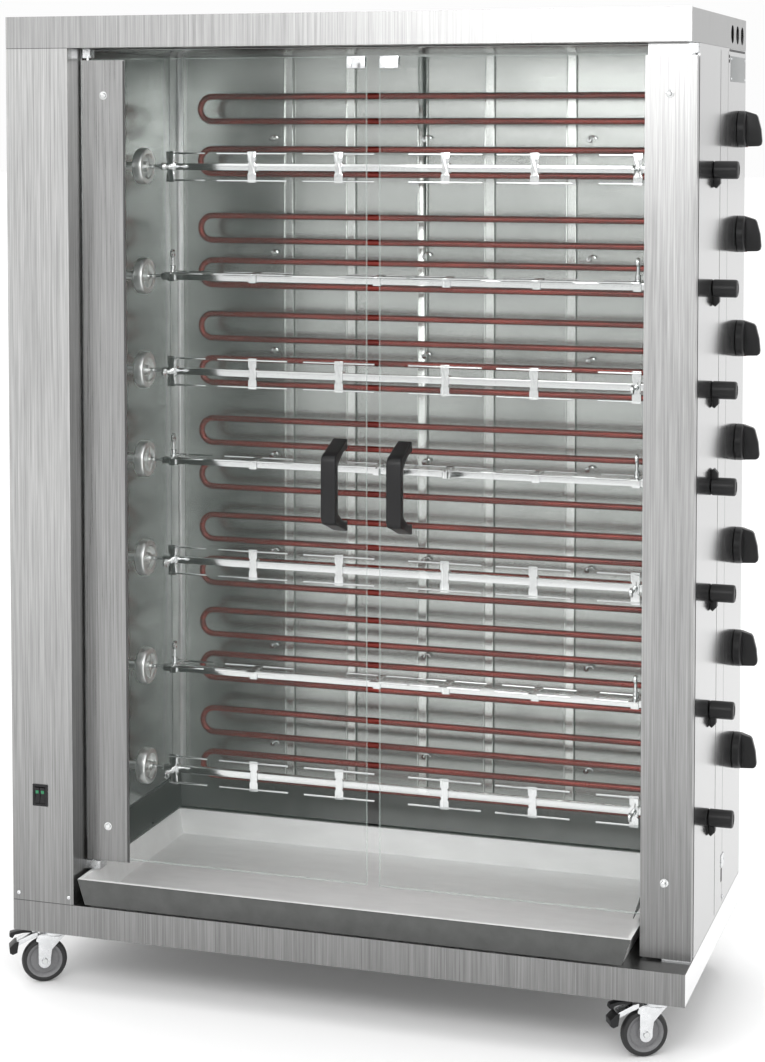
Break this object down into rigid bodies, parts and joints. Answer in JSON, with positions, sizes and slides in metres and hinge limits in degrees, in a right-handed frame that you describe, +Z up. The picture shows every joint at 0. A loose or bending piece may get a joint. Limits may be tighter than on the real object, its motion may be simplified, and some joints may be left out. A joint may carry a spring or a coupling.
{
  "type": "electric rotisserie oven",
  "caption": "Floor-standing electric rotisserie oven: stainless cabinet on casters, stacked powered spits, hairpin heaters, two hinged glass doors and a pull-out drip tray.",
  "frame": {"origin": "centre of the whole object's box, on the floor under the casters", "axes": "+Z up, -Y out of the front with the doors, +X to the side with the knobs"},
  "size_m": [1.2568, 0.5526, 1.705],
  "materials": {
    "brushed_steel": "vertical brushed grain",
    "satin_steel": "satin",
    "polished_steel": "polished",
    "zinc_steel": "bright zinc plate",
    "chrome_steel": "bright",
    "heating_element": "sheathed tube at dull red heat",
    "black_plastic": "satin moulded",
    "caster_rubber": "matte",
    "clear_glass": "clear toughened"
  },
  "bodies": {
    "root": {"base_chassis": "brushed_steel", "top_cover": "brushed_steel", "left_column": "brushed_steel", "right_housing": "brushed_steel", "rear_panel": "satin_steel", "reflector_panel": "polished_steel", "drip_funnel": "satin_steel", "gear_motor": "zinc_steel", "switch_bezel": "black_plastic", "upper_left_hinge": "zinc_steel", "upper_right_hinge": "zinc_steel", "lower_left_hinge": "zinc_steel", "lower_right_hinge": "zinc_steel", "heating_zone_1": "heating_element", "heating_zone_2": "heating_element", "heating_zone_3": "heating_element", "heating_zone_4": "heating_element", "heating_zone_5": "heating_element", "heating_zone_6": "heating_element", "heating_zone_7": "heating_element"},
    "left_door": {"left_door_stile": "brushed_steel", "left_door_glass": "clear_glass", "left_door_handle": "black_plastic"},
    "right_door": {"right_door_stile": "brushed_steel", "right_door_glass": "clear_glass", "right_door_handle": "black_plastic"},
    "drip_tray": {"drip_tray": "satin_steel"},
    "motor_rocker": {"motor_rocker": "black_plastic"},
    "lamp_rocker": {"lamp_rocker": "black_plastic"},
    "control_knob_1": {"control_knob_1": "black_plastic"},
    "spit_1": {"spit_1": "chrome_steel"},
    "release_knob_1": {"release_knob_1": "black_plastic"},
    "control_knob_2": {"control_knob_2": "black_plastic"},
    "spit_2": {"spit_2": "chrome_steel"},
    "release_knob_2": {"release_knob_2": "black_plastic"},
    "control_knob_3": {"control_knob_3": "black_plastic"},
    "spit_3": {"spit_3": "chrome_steel"},
    "release_knob_3": {"release_knob_3": "black_plastic"},
    "control_knob_4": {"control_knob_4": "black_plastic"},
    "spit_4": {"spit_4": "chrome_steel"},
    "release_knob_4": {"release_knob_4": "black_plastic"},
    "control_knob_5": {"control_knob_5": "black_plastic"},
    "spit_5": {"spit_5": "chrome_steel"},
    "release_knob_5": {"release_knob_5": "black_plastic"},
    "control_knob_6": {"control_knob_6": "black_plastic"},
    "spit_6": {"spit_6": "chrome_steel"},
    "release_knob_6": {"release_knob_6": "black_plastic"},
    "control_knob_7": {"control_knob_7": "black_plastic"},
    "spit_7": {"spit_7": "chrome_steel"},
    "release_knob_7": {"release_knob_7": "black_plastic"},
    "front_left_caster": {"front_left_fork": "zinc_steel"},
    "front_left_wheel": {"front_left_wheel": "caster_rubber"},
    "front_left_pedal": {"front_left_pedal": "black_plastic"},
    "front_right_caster": {"front_right_fork": "zinc_steel"},
    "front_right_wheel": {"front_right_wheel": "caster_rubber"},
    "front_right_pedal": {"front_right_pedal": "black_plastic"},
    "rear_left_caster": {"rear_left_fork": "zinc_steel"},
    "rear_left_wheel": {"rear_left_wheel": "caster_rubber"},
    "rear_right_caster": {"rear_right_fork": "zinc_steel"},
    "rear_right_wheel": {"rear_right_wheel": "caster_rubber"}
  },
  "joints": [
    {"name": "left_door_hinge", "type": "hinge", "parent": "root", "child": "left_door", "pos_m": [-0.47663, -0.2069, 0.93], "axis": [0, 0, 1], "range_deg": [-90, 0]},
    {"name": "right_door_hinge", "type": "hinge", "parent": "root", "child": "right_door", "pos_m": [0.57937, -0.2039, 0.93], "axis": [0, 0, 1], "range_deg": [0, 110]},
    {"name": "drip_tray_slide", "type": "slide", "parent": "root", "child": "drip_tray", "axis": [0, -1, 0], "range_m": [0, 0.38]},
    {"name": "motor_rocker_tilt", "type": "hinge", "parent": "root", "child": "motor_rocker", "pos_m": [-0.55583, -0.2639, 0.349], "axis": [1, 0, 0], "range_deg": [-12, 0]},
    {"name": "lamp_rocker_tilt", "type": "hinge", "parent": "root", "child": "lamp_rocker", "pos_m": [-0.54543, -0.2639, 0.349], "axis": [1, 0, 0], "range_deg": [-12, 0]},
    {"name": "front_left_brake", "type": "hinge", "parent": "front_left_caster", "child": "front_left_pedal", "pos_m": [-0.5798, -0.2259, 0.0865], "axis": [-0.5, 0.866, 0], "range_deg": [0, 12]},
    {"name": "front_left_swivel", "type": "hinge", "parent": "root", "child": "front_left_caster", "pos_m": [-0.54863, -0.2079, 0.1], "axis": [0, 0, 1], "continuous": true},
    {"name": "front_left_roll", "type": "hinge", "parent": "front_left_caster", "child": "front_left_wheel", "pos_m": [-0.56768, -0.2189, 0.04], "axis": [-0.5, 0.866, 0], "continuous": true},
    {"name": "front_right_brake", "type": "hinge", "parent": "front_right_caster", "child": "front_right_pedal", "pos_m": [0.5002, -0.2259, 0.0865], "axis": [-0.5, 0.866, 0], "range_deg": [0, 12]},
    {"name": "front_right_swivel", "type": "hinge", "parent": "root", "child": "front_right_caster", "pos_m": [0.53137, -0.2079, 0.1], "axis": [0, 0, 1], "continuous": true},
    {"name": "front_right_roll", "type": "hinge", "parent": "front_right_caster", "child": "front_right_wheel", "pos_m": [0.51232, -0.2189, 0.04], "axis": [-0.5, 0.866, 0], "continuous": true},
    {"name": "rear_left_swivel", "type": "hinge", "parent": "root", "child": "rear_left_caster", "pos_m": [-0.54863, 0.2201, 0.1], "axis": [0, 0, 1], "continuous": true},
    {"name": "rear_left_roll", "type": "hinge", "parent": "rear_left_caster", "child": "rear_left_wheel", "pos_m": [-0.56768, 0.2091, 0.04], "axis": [-0.5, 0.866, 0], "continuous": true},
    {"name": "rear_right_swivel", "type": "hinge", "parent": "root", "child": "rear_right_caster", "pos_m": [0.53137, 0.2201, 0.1], "axis": [0, 0, 1], "continuous": true},
    {"name": "rear_right_roll", "type": "hinge", "parent": "rear_right_caster", "child": "rear_right_wheel", "pos_m": [0.51232, 0.2091, 0.04], "axis": [-0.5, 0.866, 0], "continuous": true},
    {"name": "spit_1_spin", "type": "hinge", "parent": "root", "child": "spit_1", "pos_m": [-0.00863, -0.0479, 1.445], "axis": [1, 0, 0], "continuous": true},
    {"name": "control_knob_1_turn", "type": "hinge", "parent": "root", "child": "control_knob_1", "pos_m": [0.58737, 0.2081, 1.512], "axis": [1, 0, 0], "range_deg": [0, 270]},
    {"name": "release_knob_1_pull", "type": "slide", "parent": "root", "child": "release_knob_1", "axis": [1, 0, 0], "range_m": [0, 0.02], "stiffness_N_per_m": 400, "springref_m": -0.01},
    {"name": "spit_2_spin", "type": "hinge", "parent": "root", "child": "spit_2", "pos_m": [-0.00863, -0.0479, 1.248], "axis": [1, 0, 0], "continuous": true},
    {"name": "spit_3_spin", "type": "hinge", "parent": "root", "child": "spit_3", "pos_m": [-0.00863, -0.0479, 1.078], "axis": [1, 0, 0], "continuous": true},
    {"name": "spit_4_spin", "type": "hinge", "parent": "root", "child": "spit_4", "pos_m": [-0.00863, -0.0479, 0.916], "axis": [1, 0, 0], "continuous": true},
    {"name": "spit_5_spin", "type": "hinge", "parent": "root", "child": "spit_5", "pos_m": [-0.00863, -0.0479, 0.736], "axis": [1, 0, 0], "continuous": true},
    {"name": "spit_6_spin", "type": "hinge", "parent": "root", "child": "spit_6", "pos_m": [-0.00863, -0.0479, 0.538], "axis": [1, 0, 0], "continuous": true},
    {"name": "spit_7_spin", "type": "hinge", "parent": "root", "child": "spit_7", "pos_m": [-0.00863, -0.0479, 0.353], "axis": [1, 0, 0], "continuous": true},
    {"name": "control_knob_2_turn", "type": "hinge", "parent": "root", "child": "control_knob_2", "pos_m": [0.58737, 0.2081, 1.327], "axis": [1, 0, 0], "range_deg": [0, 270]},
    {"name": "control_knob_3_turn", "type": "hinge", "parent": "root", "child": "control_knob_3", "pos_m": [0.58737, 0.2081, 1.142], "axis": [1, 0, 0], "range_deg": [0, 270]},
    {"name": "control_knob_4_turn", "type": "hinge", "parent": "root", "child": "control_knob_4", "pos_m": [0.58737, 0.2081, 0.957], "axis": [1, 0, 0], "range_deg": [0, 270]},
    {"name": "control_knob_5_turn", "type": "hinge", "parent": "root", "child": "control_knob_5", "pos_m": [0.58737, 0.2081, 0.772], "axis": [1, 0, 0], "range_deg": [0, 270]},
    {"name": "control_knob_6_turn", "type": "hinge", "parent": "root", "child": "control_knob_6", "pos_m": [0.58737, 0.2081, 0.587], "axis": [1, 0, 0], "range_deg": [0, 270]},
    {"name": "control_knob_7_turn", "type": "hinge", "parent": "root", "child": "control_knob_7", "pos_m": [0.58737, 0.2081, 0.402], "axis": [1, 0, 0], "range_deg": [0, 270]},
    {"name": "release_knob_2_pull", "type": "slide", "parent": "root", "child": "release_knob_2", "axis": [1, 0, 0], "range_m": [0, 0.02], "stiffness_N_per_m": 400, "springref_m": -0.01},
    {"name": "release_knob_3_pull", "type": "slide", "parent": "root", "child": "release_knob_3", "axis": [1, 0, 0], "range_m": [0, 0.02], "stiffness_N_per_m": 400, "springref_m": -0.01},
    {"name": "release_knob_4_pull", "type": "slide", "parent": "root", "child": "release_knob_4", "axis": [1, 0, 0], "range_m": [0, 0.02], "stiffness_N_per_m": 400, "springref_m": -0.01},
    {"name": "release_knob_5_pull", "type": "slide", "parent": "root", "child": "release_knob_5", "axis": [1, 0, 0], "range_m": [0, 0.02], "stiffness_N_per_m": 400, "springref_m": -0.01},
    {"name": "release_knob_6_pull", "type": "slide", "parent": "root", "child": "release_knob_6", "axis": [1, 0, 0], "range_m": [0, 0.02], "stiffness_N_per_m": 400, "springref_m": -0.01},
    {"name": "release_knob_7_pull", "type": "slide", "parent": "root", "child": "release_knob_7", "axis": [1, 0, 0], "range_m": [0, 0.02], "stiffness_N_per_m": 400, "springref_m": -0.01}
  ],
  "couplings": [
    {"joint": "spit_2_spin", "follows": "spit_1_spin", "ratio": 1},
    {"joint": "spit_3_spin", "follows": "spit_1_spin", "ratio": 1},
    {"joint": "spit_4_spin", "follows": "spit_1_spin", "ratio": 1},
    {"joint": "spit_5_spin", "follows": "spit_1_spin", "ratio": 1},
    {"joint": "spit_6_spin", "follows": "spit_1_spin", "ratio": 1},
    {"joint": "spit_7_spin", "follows": "spit_1_spin", "ratio": 1}
  ]
}
